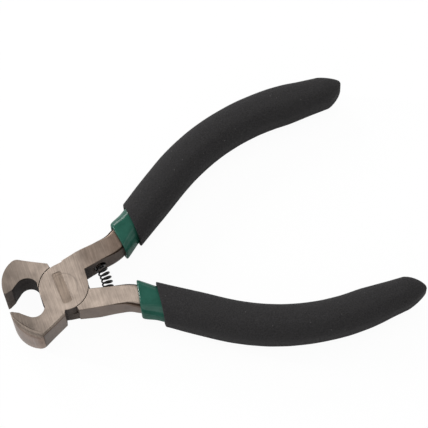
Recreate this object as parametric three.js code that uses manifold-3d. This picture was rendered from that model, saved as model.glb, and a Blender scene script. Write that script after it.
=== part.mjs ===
// End-cutting nippers: two lapped steel halves on a flush rivet, held open by a coil spring,
// with dipped sleeves and foam grips on the handles. Millimetres, +Z up.
// The origin is on the pivot axis at the back face of the joint, and +X runs towards the handles.
// A half is drawn closed, with its cutting edge on the X axis, and is then swung open.

import * as THREE from 'three';
import { mergeVertices } from 'three/addons/utils/BufferGeometryUtils.js';
import Module from 'manifold-3d';

// Lap joint
const HEAD_THICKNESS = 9;
const DISC_RADIUS = 6.9;
const DISC_EDGE = 0.14; // bevel round the visible face of a disc
const LAP_CLEARANCE = 0.12; // radial gap round a disc in the other half's pocket
const FACE_CLEARANCE = 0.06; // gap between the two discs
const OPEN_ANGLE = 20.5; // degrees that the spring holds the halves apart

// Rivet
const RIVET_RADIUS = 2.2;
const RIVET_HEAD_RADIUS = 3;
const RIVET_HEAD_DEPTH = 0.9; // depth of the countersunk head on each face
const RIVET_CLEARANCE = 0.05;

// Stamped panel on the front disc, left bare
const PANEL_WIDTH = 2.7;
const PANEL_LENGTH = 9.6;
const PANEL_CORNER = 0.7;
const PANEL_DEPTH = 0.18;
const PANEL_OFFSET = 0.5; // from the pivot towards the jaws
const PANEL_TILT = 7; // degrees off square to the closed tool

// Jaw
const JAW_REACH = 16.55; // pivot to cutting edge
const JAW_EDGE_WIDTH = 13.1; // length of the cutting edge
const FLARE_START = 7.4; // where the faces begin to flare, from the pivot
const FLARE_KNEE = 13.2; // control point of the flare's curve, from the pivot
const NOSE_RADIUS = 9.8;
const NOSE_CORNER_REACH = 12.4; // corner of nose and back, from the pivot along the tool
const NOSE_CORNER_DEPTH = 10.25; // the same corner, from the parting line
const NOSE_CORNER_ROUND = 1.2; // length of the corner's rounding on each side
const NOSE_ROLL = 1.5; // rounding from the disc's face into the nose, fading out at the cutting edge
const BACK_ROLL = 0.9; // rounding from the disc's face into the back
const EDGE_LAND = 0.6; // flat left on the cutting edge
const EDGE_BEVEL_LENGTH = 1.9; // ground bevel behind the cutting edge
const EDGE_BEVEL_ANGLE = 31; // degrees off the parting line
const THROAT_SHARE = 0.332; // throat radius, of the way from the disc to the cutting edge
const THROAT_DROP = 0.9; // throat centre below the parting line
const THROAT_END = 28.5; // degrees from the throat's centre line down to where its arc ends
const JAW_SHOULDER_RADIUS = 8.4;
const JAW_SHOULDER_ANGLE = 64.6; // degrees from the jaw's end of the X axis

// Tang and shank, measured along the handle line
const TANG_OFFSET = 4.65; // handle line beside the closed tool's axis, at the joint
const TANG_ROOT_SLOPE = 4; // degrees that the tang's outer side rises from the disc's flank
const TANG_WEB_WIDTH = 0.5; // web from the disc to the tang's inner side
const TANG_WEB_RISE = 0.5; // outer web above the disc's rim, where it meets the shoulder
const TANG_SHOULDER_ANGLE = 66.4; // degrees from the handles' end of the X axis
const TANG_ROOT_WIDTH = 5.9;
const TANG_WIDTH = 5.5;
const TANG_THICKNESS = 8.2;
const TANG_EDGE = 0.25; // edge rounding near the joint
const WAIST_REACH = 13; // where the tang is at its narrowest
const NECK_WIDTH = 6.5; // shank at the sleeve's mouth
const NECK_THICKNESS = 7.3;
const NECK_EDGE = 1.4;
const COLLAR_WIDTH = 5.9; // shank at the grip's mouth
const COLLAR_THICKNESS = 7.2;
const COLLAR_EDGE = 2.2;
const SHANK_WIDTH = 6.2;
const SHANK_THICKNESS = 8.2;
const SHANK_EDGE = 2.6;
const TAIL_WIDTH = 5.75; // shank at the end of the bow
const TAIL_THICKNESS = 7.6;
const TAIL_EDGE = 2.3;
const SHANK_END_WIDTH = 3.5;
const SHANK_END_THICKNESS = 6.6;
const SHANK_END_EDGE = 1.5;
const SHANK_TIP = 0.5; // bevel at the shank's end

// Handle line
const BEND_START = 15.9; // straight tang before the bend
const BEND_RADIUS = 10.5;
const BEND_ANGLE = 24;
const SPREAD_LENGTH = 23.4; // straight run after the bend
const BOW_RADIUS = 63.2;
const BOW_ANGLE = 35.7;
const TAIL_LENGTH = 19.1;

// Dipped sleeves and foam grips. A sleeve's mouth is square to the closed tool.
const COVER_CLEARANCE = 0.2;
const SLEEVE_WALL = 1;
const SLEEVE_REACH = 20.3; // pivot to the sleeve's mouth
const SLEEVE_END_WALL = 1.6;
const SLEEVE_TIP = 1.2; // rounding of the closed end
const GRIP_WALL = 1;
const GRIP_REACH = 26.5; // pivot to the grip's mouth
const GRIP_MOUTH_TILT = 4; // degrees off square, further back on the outer side
const GRIP_SWELL = 12; // length over which the grip swells from its mouth
const GRIP_END_WALL = 3.6;
const GRIP_TIP_LENGTH = 7; // rounded part of the closed end
const GRIP_TIP_INSET = 3.6;
const GRIP_SLANT = 0.04; // slope of the end, longer on the outer side
const GRIP_SLANT_RUN = 12;

// Return spring
const SPRING_REACH = 12.1; // pivot to the spring's centre line
const SPRING_DIAMETER = 3.3;
const SPRING_WIRE = 0.5;
const SPRING_TURNS = 8;
const SPRING_SEAT_GAP = 0.3;
const POCKET_CLEARANCE = 0.3; // round the spring in its pocket
const POCKET_DEPTH = 2.2;

// Facets
const ROUND_STEPS = 96;
const BORE_STEPS = 48;
const ARC_STEPS = 14;
const ROLL_STEPS = 3;
const CORNER_STEPS = 3;
const TIP_STEPS = 4;
const BEND_STEP = 5; // degrees of bend in one step of a handle
const RUN_STEP = 5.5; // length of one step of a handle
const CURL_STEPS = 8;
const WIRE_SIDES = 5;

const wasm = await Module();
wasm.setup();

const radians = THREE.MathUtils.degToRad;
const HALF_HEAD = HEAD_THICKNESS / 2;
const HALF_OPEN = radians(OPEN_ANGLE / 2);
const OVERSIZE = 2 * (HEAD_THICKNESS + JAW_EDGE_WIDTH); // length of a tool that cuts right through

// Closed solid from a geometry: shared vertices are merged and empty triangles dropped.
function solidOf(geometry) {
  const bare = geometry.clone();
  bare.deleteAttribute('normal');
  bare.deleteAttribute('uv');
  const merged = mergeVertices(bare);
  const index = merged.index.array;
  const triVerts = [];
  for (let i = 0; i < index.length; i += 3) {
    const [a, b, c] = index.slice(i, i + 3);
    if (a !== b && b !== c && c !== a) triVerts.push(a, b, c);
  }
  return new wasm.Manifold(new wasm.Mesh({
    numProp: 3,
    vertProperties: merged.attributes.position.array,
    triVerts: new Uint32Array(triVerts),
  }));
}

function geometryOf(solid) {
  const mesh = solid.getMesh();
  const geometry = new THREE.BufferGeometry();
  geometry.setAttribute('position', new THREE.BufferAttribute(mesh.vertProperties, 3));
  geometry.setIndex(new THREE.BufferAttribute(mesh.triVerts, 1));
  geometry.computeVertexNormals();
  return geometry;
}

// Point at a radius and an angle from the pivot.
function polar(radius, angle) {
  return new THREE.Vector2(radius * Math.cos(angle), radius * Math.sin(angle));
}

// Prism of an outline in the XY plane, centred on the mid-plane.
function prism(shape, thickness) {
  const geometry = new THREE.ExtrudeGeometry(shape, {
    depth: thickness,
    bevelEnabled: false,
    curveSegments: ARC_STEPS,
  });
  geometry.translate(0, 0, -thickness / 2);
  return solidOf(geometry);
}

// Body turned about the pivot axis from (radius, height) pairs.
function turned(profile, steps) {
  const points = profile.map(([radius, height]) => new THREE.Vector2(radius, height));
  const geometry = new THREE.LatheGeometry(points, steps);
  geometry.rotateX(Math.PI / 2);
  return solidOf(geometry);
}

// Block that covers everything on one side of a line through a point, towards the given angle.
function sideOf(point, angle, size) {
  const geometry = new THREE.BoxGeometry(size, size, size);
  geometry.translate(size / 2, 0, 0);
  geometry.rotateZ(angle);
  geometry.translate(point.x, point.y, 0);
  return solidOf(geometry);
}

// Handle line: straight tang, bend outwards, straight spread, long bow inwards, straight tail.
const HANDLE_RUNS = [
  { length: BEND_START, turn: 0 },
  { length: BEND_RADIUS * radians(BEND_ANGLE), turn: radians(BEND_ANGLE) },
  { length: SPREAD_LENGTH, turn: 0 },
  { length: BOW_RADIUS * radians(BOW_ANGLE), turn: -radians(BOW_ANGLE) },
  { length: TAIL_LENGTH, turn: 0 },
];
const STEEL_TIP = { tipLength: SHANK_TIP, tipInset: SHANK_TIP, slant: 0 };
const HANDLE_LENGTH = HANDLE_RUNS.reduce((sum, run) => sum + run.length, 0);
const SLEEVE_LENGTH = HANDLE_LENGTH - GRIP_END_WALL - COVER_CLEARANCE;
const SHANK_LENGTH = SLEEVE_LENGTH - SLEEVE_END_WALL - COVER_CLEARANCE;

// Place and heading on the handle line at a distance from the pivot.
function handleAt(distance) {
  const point = new THREE.Vector2(0, TANG_OFFSET);
  let heading = 0;
  let left = distance;
  for (const { length, turn } of HANDLE_RUNS) {
    const part = Math.min(left, length);
    const bend = turn * (part / length);
    const chord = turn === 0 ? part : 2 * (length / turn) * Math.sin(bend / 2);
    point.add(polar(chord, heading + bend / 2));
    heading += bend;
    left -= part;
  }
  return { point, heading };
}

// Width, thickness and edge rounding of the steel at places along the handle line.
const BEND_END = BEND_START + HANDLE_RUNS[1].length;
const BOW_START = BEND_END + SPREAD_LENGTH;
const BOW_END = HANDLE_LENGTH - TAIL_LENGTH;
const ROOT = { width: TANG_ROOT_WIDTH, thickness: HEAD_THICKNESS, edge: TANG_EDGE };
const SHANK = { width: SHANK_WIDTH, thickness: SHANK_THICKNESS, edge: SHANK_EDGE };
const STEEL_KEYS = [
  { at: 0, ...ROOT },
  { at: DISC_RADIUS + TANG_WEB_WIDTH, ...ROOT },
  { at: WAIST_REACH, width: TANG_WIDTH, thickness: TANG_THICKNESS, edge: TANG_EDGE },
  { at: SLEEVE_REACH, width: NECK_WIDTH, thickness: NECK_THICKNESS, edge: NECK_EDGE },
  { at: GRIP_REACH, width: COLLAR_WIDTH, thickness: COLLAR_THICKNESS, edge: COLLAR_EDGE },
  { at: GRIP_REACH + GRIP_SWELL, ...SHANK },
  { at: BOW_START, ...SHANK },
  { at: BOW_END, width: TAIL_WIDTH, thickness: TAIL_THICKNESS, edge: TAIL_EDGE },
  { at: HANDLE_LENGTH, width: SHANK_END_WIDTH, thickness: SHANK_END_THICKNESS, edge: SHANK_END_EDGE },
];

function steelAt(distance) {
  const upTo = STEEL_KEYS.findLastIndex((key) => key.at <= distance);
  const first = THREE.MathUtils.clamp(upTo, 0, STEEL_KEYS.length - 2);
  const [from, to] = [STEEL_KEYS[first], STEEL_KEYS[first + 1]];
  const share = THREE.MathUtils.smoothstep(distance, from.at, to.at);
  const between = (name) => THREE.MathUtils.lerp(from[name], to[name], share);
  return { width: between('width'), thickness: between('thickness'), edge: between('edge') };
}

// Distances along the handle line at which sections are placed.
function stations(start, end) {
  const marks = new Set([start, end]);
  let at = 0;
  for (const { length, turn } of HANDLE_RUNS) {
    const steps = Math.ceil(Math.max(length / RUN_STEP, Math.abs(turn) / radians(BEND_STEP)));
    for (let step = 0; step < steps; step += 1) marks.add(at + (length * step) / steps);
    at += length;
  }
  for (const key of STEEL_KEYS) marks.add(key.at);
  return [...marks].filter((mark) => mark >= start && mark <= end).sort((a, b) => a - b);
}

// Ring of points: the steel's section at a distance, grown by an offset.
// Near the handle's end the ring slants, so that the outer side is the longer one.
function ringAt(distance, offset, slant) {
  const { point, heading } = handleAt(distance);
  const steel = steelAt(distance);
  const halfWidth = steel.width / 2 + offset;
  const halfThickness = steel.thickness / 2 + offset;
  const edge = Math.max(steel.edge + offset, TANG_EDGE);
  const slope = slant * THREE.MathUtils.smoothstep(distance, HANDLE_LENGTH - GRIP_SLANT_RUN, HANDLE_LENGTH);
  const ring = [];
  for (let corner = 0; corner < 4; corner += 1) {
    const across = corner === 0 || corner === 3 ? 1 : -1;
    const up = corner < 2 ? 1 : -1;
    for (let step = 0; step <= CORNER_STEPS; step += 1) {
      const angle = ((corner + step / CORNER_STEPS) * Math.PI) / 2;
      const side = across * (halfWidth - edge) + edge * Math.cos(angle);
      const height = up * (halfThickness - edge) + edge * Math.sin(angle);
      const place = polar(side * slope, heading).add(polar(side, heading + Math.PI / 2)).add(point);
      ring.push(new THREE.Vector3(place.x, place.y, height));
    }
  }
  return ring;
}

// Closed skin over a row of rings, with a flat cap at each end.
function loft(rings) {
  const count = rings[0].length;
  const points = rings.flat();
  const index = [];
  for (let row = 0; row < rings.length - 1; row += 1) {
    for (let i = 0; i < count; i += 1) {
      const j = (i + 1) % count;
      const [a, b] = [row * count + i, row * count + j];
      index.push(a, b, a + count, b, b + count, a + count);
    }
  }
  const last = (rings.length - 1) * count;
  for (let i = 1; i < count - 1; i += 1) {
    index.push(0, i + 1, i, last, last + i, last + i + 1);
  }
  const geometry = new THREE.BufferGeometry().setFromPoints(points);
  geometry.setIndex(index);
  return geometry;
}

// Bar along the handle line: the steel's section grown by an offset, with a rounded far end.
function handleBar({ start, end, offset, tipLength, tipInset, slant }) {
  const rings = stations(start, end - tipLength).map((distance) => ringAt(distance, offset, slant));
  for (let step = 1; step <= TIP_STEPS; step += 1) {
    const angle = ((step / TIP_STEPS) * Math.PI) / 2;
    const distance = end - tipLength * (1 - Math.sin(angle));
    rings.push(ringAt(distance, offset - tipInset * (1 - Math.cos(angle)), slant));
  }
  return solidOf(loft(rings));
}

// Point where a line from a place outside the disc touches it, to the left (1) or the right (-1) of it.
function discTouch(place, way) {
  return polar(DISC_RADIUS, place.angle() + way * Math.acos(DISC_RADIUS / place.length()));
}

// Points and angles that a jaw's outline and its soft edges share.
const JAW_TIP = new THREE.Vector2(-JAW_REACH, 0);
const NOSE_CORNER = new THREE.Vector2(-NOSE_CORNER_REACH, -NOSE_CORNER_DEPTH);
const JAW_SHOULDER = polar(JAW_SHOULDER_RADIUS, Math.PI + radians(JAW_SHOULDER_ANGLE));
const NOSE_CENTRE = arcCentre(NOSE_CORNER, JAW_TIP, NOSE_RADIUS);
const NOSE_START = NOSE_CORNER.clone().sub(NOSE_CENTRE).angle();
const NOSE_END = JAW_TIP.clone().sub(NOSE_CENTRE).angle();

// Centre of an arc of a given radius from one point to another, on the right of the way between them.
function arcCentre(from, to, radius) {
  const chord = to.clone().sub(from);
  const inset = Math.sqrt(radius ** 2 - chord.lengthSq() / 4);
  const aside = new THREE.Vector2(chord.y, -chord.x).setLength(inset);
  return from.clone().add(to).multiplyScalar(0.5).add(aside);
}

// Outline of a jaw: ground bevel, round throat, wall beside the disc, shoulder, straight back and nose arc.
function jawOutline() {
  const land = new THREE.Vector2(EDGE_LAND - JAW_REACH, 0);
  const bevelEnd = polar(EDGE_BEVEL_LENGTH, -radians(EDGE_BEVEL_ANGLE)).add(land);
  const radius = THROAT_SHARE * (JAW_REACH - DISC_RADIUS);
  const throat = new THREE.Vector2(-Math.sqrt((DISC_RADIUS + radius) ** 2 - THROAT_DROP ** 2), -THROAT_DROP);
  const toThroat = throat.clone().sub(bevelEnd);
  const lead = Math.atan2(toThroat.y, toThroat.x) - Math.asin(radius / toThroat.length());
  const wallFoot = polar(radius, -radians(THROAT_END)).add(throat);
  const wallTop = discTouch(wallFoot, -1);
  const toShoulder = JAW_SHOULDER.clone().sub(NOSE_CORNER).setLength(NOSE_CORNER_ROUND);
  const backEnd = NOSE_CORNER.clone().add(toShoulder);
  const noseStart = NOSE_START - NOSE_CORNER_ROUND / NOSE_RADIUS;
  const noseFoot = polar(NOSE_RADIUS, noseStart).add(NOSE_CENTRE);

  const shape = new THREE.Shape();
  shape.moveTo(JAW_TIP.x, JAW_TIP.y);
  shape.lineTo(land.x, land.y);
  shape.lineTo(bevelEnd.x, bevelEnd.y);
  shape.absarc(throat.x, throat.y, radius, lead - Math.PI / 2, -radians(THROAT_END), false);
  shape.lineTo(wallTop.x, wallTop.y);
  shape.lineTo(JAW_SHOULDER.x / 2, JAW_SHOULDER.y / 2);
  shape.lineTo(JAW_SHOULDER.x, JAW_SHOULDER.y);
  shape.lineTo(backEnd.x, backEnd.y);
  shape.quadraticCurveTo(NOSE_CORNER.x, NOSE_CORNER.y, noseFoot.x, noseFoot.y);
  shape.absarc(NOSE_CENTRE.x, NOSE_CENTRE.y, NOSE_RADIUS, noseStart, NOSE_END, true);
  return shape;
}

// Side view of the jaw: flat beside the joint, flaring out to the width of the cutting edge.
function flareOutline() {
  const far = -2 * JAW_REACH;
  const halfEdge = JAW_EDGE_WIDTH / 2;
  const shape = new THREE.Shape();
  shape.moveTo(0, HALF_HEAD);
  shape.lineTo(-FLARE_START, HALF_HEAD);
  shape.quadraticCurveTo(-FLARE_KNEE, HALF_HEAD, -JAW_REACH, halfEdge);
  shape.lineTo(far, halfEdge);
  shape.lineTo(far, -halfEdge);
  shape.lineTo(-JAW_REACH, -halfEdge);
  shape.quadraticCurveTo(-FLARE_KNEE, -HALF_HEAD, -FLARE_START, -HALF_HEAD);
  shape.lineTo(0, -HALF_HEAD);
  return shape;
}

// Height and slope of a flaring face at a distance from the pivot towards the cutting edge.
function flareAt(reach) {
  const rise = JAW_EDGE_WIDTH / 2 - HALF_HEAD;
  const run = Math.max(reach - FLARE_START, 0);
  const speed = 2 * (FLARE_KNEE - FLARE_START);
  const change = JAW_REACH - 2 * FLARE_KNEE + FLARE_START;
  const share = (2 * run) / (speed + Math.sqrt(speed ** 2 + 4 * change * run));
  return {
    height: HALF_HEAD + rise * share ** 2,
    slope: (2 * rise * share) / (speed + 2 * change * share),
  };
}

// Section of a cutter that rolls the face on the disc's side over into a side wall of the jaw.
function rollRing({ point, angle, radius }) {
  const { height, slope } = flareAt(-point.x);
  const lean = Math.atan(-slope * Math.cos(angle)); // rise of the face towards the wall
  const depth = height - radius * Math.tan(lean) - radius / Math.cos(lean);
  const section = [];
  for (let step = 0; step <= ROLL_STEPS; step += 1) {
    const turn = (step / ROLL_STEPS) * (Math.PI / 2 + lean);
    section.push([radius * (Math.cos(turn) - 1), depth + radius * Math.sin(turn)]);
  }
  const [inner] = section.at(-1);
  section.push([inner, OVERSIZE], [HALF_HEAD, OVERSIZE], [HALF_HEAD, depth]);
  return section.map(([out, z]) => {
    const place = polar(out, angle).add(point);
    return new THREE.Vector3(place.x, place.y, z);
  });
}

// Cutter along the nose, from the cutting edge to just past the nose's corner.
function noseRoll() {
  const rings = [];
  for (let step = ARC_STEPS; step >= -1; step -= 1) {
    const share = step / ARC_STEPS;
    const angle = THREE.MathUtils.lerp(NOSE_START, NOSE_END, share);
    const point = polar(NOSE_RADIUS, angle).add(NOSE_CENTRE);
    rings.push(rollRing({ point, angle, radius: NOSE_ROLL * (1 - share ** 2) }));
  }
  return solidOf(loft(rings));
}

// Cutter along the back, from just past the nose's corner to just past the shoulder.
function backRoll() {
  const back = JAW_SHOULDER.clone().sub(NOSE_CORNER);
  const angle = back.angle() - Math.PI / 2;
  const rings = [];
  for (let step = -1; step <= ARC_STEPS + 1; step += 1) {
    const point = NOSE_CORNER.clone().addScaledVector(back, step / ARC_STEPS);
    rings.push(rollRing({ point, angle, radius: BACK_ROLL }));
  }
  return solidOf(loft(rings));
}

function jawSolid() {
  const flare = new THREE.ExtrudeGeometry(flareOutline(), {
    depth: OVERSIZE,
    bevelEnabled: false,
    curveSegments: ARC_STEPS,
  });
  flare.translate(0, 0, -OVERSIZE / 2);
  flare.rotateX(Math.PI / 2);
  const jaw = prism(jawOutline(), OVERSIZE).intersect(solidOf(flare));
  return jaw.subtract(noseRoll()).subtract(backRoll());
}

// Tang and shank: the tang ends in a shoulder, and beside its own disc its outer side is set in a little.
function tangSolid() {
  const bar = handleBar({ start: 0, end: SHANK_LENGTH, offset: 0, ...STEEL_TIP });
  const size = 2 * HANDLE_LENGTH;
  const pivot = new THREE.Vector2(0, 0);
  const flank = new THREE.Vector2(0, DISC_RADIUS);
  const shoulder = sideOf(pivot, radians(TANG_SHOULDER_ANGLE) + Math.PI / 2, size);
  const root = sideOf(flank, radians(TANG_ROOT_SLOPE) + Math.PI / 2, size);
  return bar
    .subtract(shoulder)
    .subtract(root.trimByPlane([0, 0, 1], 0).trimByPlane([-1, 0, 0], -WAIST_REACH));
}

// Web in the disc's layer: straight flanks from the disc to the tang's inner side and to its shoulder.
function webSolid() {
  const corner = new THREE.Vector2(DISC_RADIUS + TANG_WEB_WIDTH, TANG_OFFSET - TANG_ROOT_WIDTH / 2);
  const shoulder = polar(DISC_RADIUS + TANG_WEB_RISE, radians(TANG_SHOULDER_ANGLE));
  const pivot = new THREE.Vector2(0, 0);
  const middle = new THREE.Vector2(corner.x, TANG_OFFSET);
  const outline = [pivot, discTouch(corner, -1), corner, middle, shoulder, discTouch(shoulder, 1)];
  return prism(new THREE.Shape(outline), HEAD_THICKNESS);
}

// Rivet profile: a shank with a countersunk head on each face.
function rivetProfile(clearance, reach) {
  const slope = (RIVET_HEAD_RADIUS - RIVET_RADIUS) / RIVET_HEAD_DEPTH;
  const head = RIVET_HEAD_RADIUS + clearance + slope * (reach - HALF_HEAD);
  const neck = HALF_HEAD - RIVET_HEAD_DEPTH;
  const shank = RIVET_RADIUS + clearance;
  return [[0, -reach], [head, -reach], [shank, -neck], [shank, neck], [head, reach], [0, reach]];
}

// Inner side of the straight tang where the spring seats, and the floor of its pocket.
const TANG_INNER = TANG_OFFSET - steelAt(SPRING_REACH).width / 2;
const POCKET_FLOOR = TANG_INNER + POCKET_DEPTH;

function springPocket() {
  const radius = SPRING_DIAMETER / 2 + POCKET_CLEARANCE;
  const geometry = new THREE.CylinderGeometry(radius, radius, POCKET_FLOOR, BORE_STEPS);
  geometry.translate(SPRING_REACH, POCKET_FLOOR / 2, 0);
  return solidOf(geometry);
}

// One half: jaw and tang at full thickness, joined by a disc of half the thickness.
function forgedHalf() {
  const floor = FACE_CLEARANCE / 2;
  const pocketRadius = DISC_RADIUS + LAP_CLEARANCE;
  const pocket = turned(
    [[0, -OVERSIZE], [pocketRadius, -OVERSIZE], [pocketRadius, floor], [0, floor]],
    ROUND_STEPS,
  );
  const rim = [[DISC_RADIUS, HALF_HEAD - DISC_EDGE], [DISC_RADIUS - DISC_EDGE, HALF_HEAD]];
  const disc = turned([[0, floor], [DISC_RADIUS, floor], ...rim, [0, HALF_HEAD]], ROUND_STEPS);
  const bore = turned(rivetProfile(RIVET_CLEARANCE, HEAD_THICKNESS), BORE_STEPS);
  const body = jawSolid().add(tangSolid()).subtract(pocket);
  const lapped = body.add(disc).add(webSolid().trimByPlane([0, 0, 1], floor));
  return lapped.subtract(bore).subtract(springPocket());
}

// Shallow panel with round corners, sunk into the front face of the joint.
function panelSolid() {
  const [x, y] = [PANEL_WIDTH / 2, PANEL_LENGTH / 2];
  const r = PANEL_CORNER;
  const shape = new THREE.Shape();
  shape.absarc(x - r, y - r, r, 0, Math.PI / 2, false);
  shape.absarc(r - x, y - r, r, Math.PI / 2, Math.PI, false);
  shape.absarc(r - x, r - y, r, Math.PI, 1.5 * Math.PI, false);
  shape.absarc(x - r, r - y, r, 1.5 * Math.PI, 2 * Math.PI, false);
  const geometry = new THREE.ExtrudeGeometry(shape, {
    depth: HEAD_THICKNESS,
    bevelEnabled: false,
    curveSegments: CORNER_STEPS,
  });
  geometry.rotateZ(-radians(PANEL_TILT));
  geometry.translate(-PANEL_OFFSET, 0, HALF_HEAD - PANEL_DEPTH);
  return solidOf(geometry);
}

// Cover of one handle: a closed-ended tube with its mouth cut square to the closed tool, or tilted.
function coverSolid({ gap, wall, reach, tilt, end, cavityEnd, tip }) {
  const outer = handleBar({ start: DISC_RADIUS, end, offset: gap + wall, ...tip });
  const cavity = handleBar({ start: DISC_RADIUS, end: cavityEnd, offset: gap, ...STEEL_TIP });
  const mouth = sideOf(handleAt(reach).point, Math.PI - radians(tilt), 2 * HANDLE_LENGTH);
  return outer.subtract(cavity).subtract(mouth);
}

const SLEEVE = {
  gap: COVER_CLEARANCE,
  wall: SLEEVE_WALL,
  reach: SLEEVE_REACH,
  tilt: 0,
  end: SLEEVE_LENGTH,
  cavityEnd: SHANK_LENGTH + COVER_CLEARANCE,
  tip: { tipLength: SLEEVE_TIP, tipInset: SLEEVE_TIP, slant: 0 },
};
const GRIP = {
  gap: SLEEVE_WALL + 2 * COVER_CLEARANCE,
  wall: GRIP_WALL,
  reach: GRIP_REACH,
  tilt: GRIP_MOUTH_TILT,
  end: HANDLE_LENGTH,
  cavityEnd: SLEEVE_LENGTH + COVER_CLEARANCE,
  tip: { tipLength: GRIP_TIP_LENGTH, tipInset: GRIP_TIP_INSET, slant: GRIP_SLANT },
};

// Spring axis: an arc about the pivot that runs straight into the pocket at each end.
function springAxisAt(distance) {
  const reach = SPRING_REACH * HALF_OPEN;
  const onArc = THREE.MathUtils.clamp(distance, -reach, reach);
  const angle = onArc / SPRING_REACH;
  const outwards = polar(1, angle);
  const along = polar(1, angle + Math.PI / 2);
  const point = outwards.clone().multiplyScalar(SPRING_REACH).addScaledVector(along, distance - onArc);
  return { point, outwards };
}

// Point on the wire's centre line, and the direction from the spring's axis to it.
function wireAt(distance, turn) {
  const { point, outwards } = springAxisAt(distance);
  const angle = -2 * Math.PI * turn;
  const flat = outwards.multiplyScalar(Math.cos(angle));
  const radial = new THREE.Vector3(flat.x, flat.y, Math.sin(angle));
  const radius = (SPRING_DIAMETER - SPRING_WIRE) / 2;
  return { place: new THREE.Vector3(point.x, point.y, 0).addScaledVector(radial, radius), radial };
}

// The wire winds at a steady pitch, and each end runs straight into its seat for one wire diameter.
function springWire() {
  const halfLength = SPRING_REACH * HALF_OPEN + POCKET_FLOOR - SPRING_SEAT_GAP;
  const halfCoil = halfLength - 2 * SPRING_WIRE;
  const steps = SPRING_TURNS * CURL_STEPS;
  const wire = [wireAt(-halfLength, 0), wireAt(-halfLength + SPRING_WIRE, 0)];
  for (let step = 0; step <= steps; step += 1) {
    const share = step / steps;
    wire.push(wireAt(THREE.MathUtils.lerp(-halfCoil, halfCoil, share), SPRING_TURNS * share));
  }
  wire.push(wireAt(halfLength - SPRING_WIRE, SPRING_TURNS), wireAt(halfLength, SPRING_TURNS));
  return wire;
}

// Least distance between turns: wire points at least half a turn apart, less the wire itself.
function leastSpringGap(wire) {
  let least = Infinity;
  wire.forEach(({ place }, i) => {
    for (const other of wire.slice(i + CURL_STEPS / 2)) {
      least = Math.min(least, place.distanceTo(other.place) - SPRING_WIRE);
    }
  });
  return least;
}

function springGeometry() {
  const wire = springWire();
  console.log(`return_spring: least gap between turns ${leastSpringGap(wire).toFixed(2)} mm`);
  const rings = wire.map(({ place, radial }, i) => {
    const before = wire[Math.max(i - 1, 0)].place;
    const after = wire[Math.min(i + 1, wire.length - 1)].place;
    const along = after.clone().sub(before).normalize();
    const out = radial.clone().addScaledVector(along, -radial.dot(along)).normalize();
    const across = new THREE.Vector3().crossVectors(along, out);
    return Array.from({ length: WIRE_SIDES }, (unused, side) => {
      const angle = (2 * Math.PI * side) / WIRE_SIDES;
      const ringPoint = place.clone().addScaledVector(out, (SPRING_WIRE / 2) * Math.cos(angle));
      return ringPoint.addScaledVector(across, (SPRING_WIRE / 2) * Math.sin(angle));
    });
  });
  return loft(rings);
}

const STEEL = { color: 0xa89c90, roughness: 0.42, metalness: 0.9 };
const SPRING_STEEL = { color: 0x1c1b1b, roughness: 0.45, metalness: 0.8 };
const GREEN_VINYL = { color: 0x1f5a49, roughness: 0.25, metalness: 0 };
const BLACK_FOAM = { color: 0x2b2a2b, roughness: 0.95, metalness: 0 };

function piece(name, geometry, finish) {
  const mesh = new THREE.Mesh(geometry, new THREE.MeshStandardMaterial(finish));
  mesh.name = name;
  return mesh;
}

// A half swung open by half the angle, with its sleeve and grip.
function openHalf(side, steel) {
  const group = new THREE.Group();
  group.rotation.z = HALF_OPEN;
  group.add(piece(`${side}_half`, geometryOf(steel), STEEL));
  group.add(piece(`${side}_sleeve`, geometryOf(coverSolid(SLEEVE)), GREEN_VINYL));
  group.add(piece(`${side}_grip`, geometryOf(coverSolid(GRIP)), BLACK_FOAM));
  return group;
}

const half = forgedHalf();
const panel = panelSolid();
const rivet = turned(rivetProfile(0, HALF_HEAD), BORE_STEPS).subtract(panel);

const frontSide = openHalf('front', half.subtract(panel));
frontSide.add(piece('pivot_rivet', geometryOf(rivet), STEEL));

// The rear half is the same forging turned over about the tool's axis.
const rearSide = new THREE.Group();
rearSide.rotation.x = Math.PI;
rearSide.add(openHalf('rear', half));

const nippers = new THREE.Group();
nippers.position.z = HALF_HEAD;
nippers.add(frontSide, rearSide, piece('return_spring', springGeometry(), SPRING_STEEL));

export default nippers;
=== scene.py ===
"""End-cutting nippers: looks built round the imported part, in metres in the part's own frame."""

import math

import bmesh
import bpy
from mathutils import Matrix, Vector, noise
from mathutils.bvhtree import BVHTree


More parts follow.
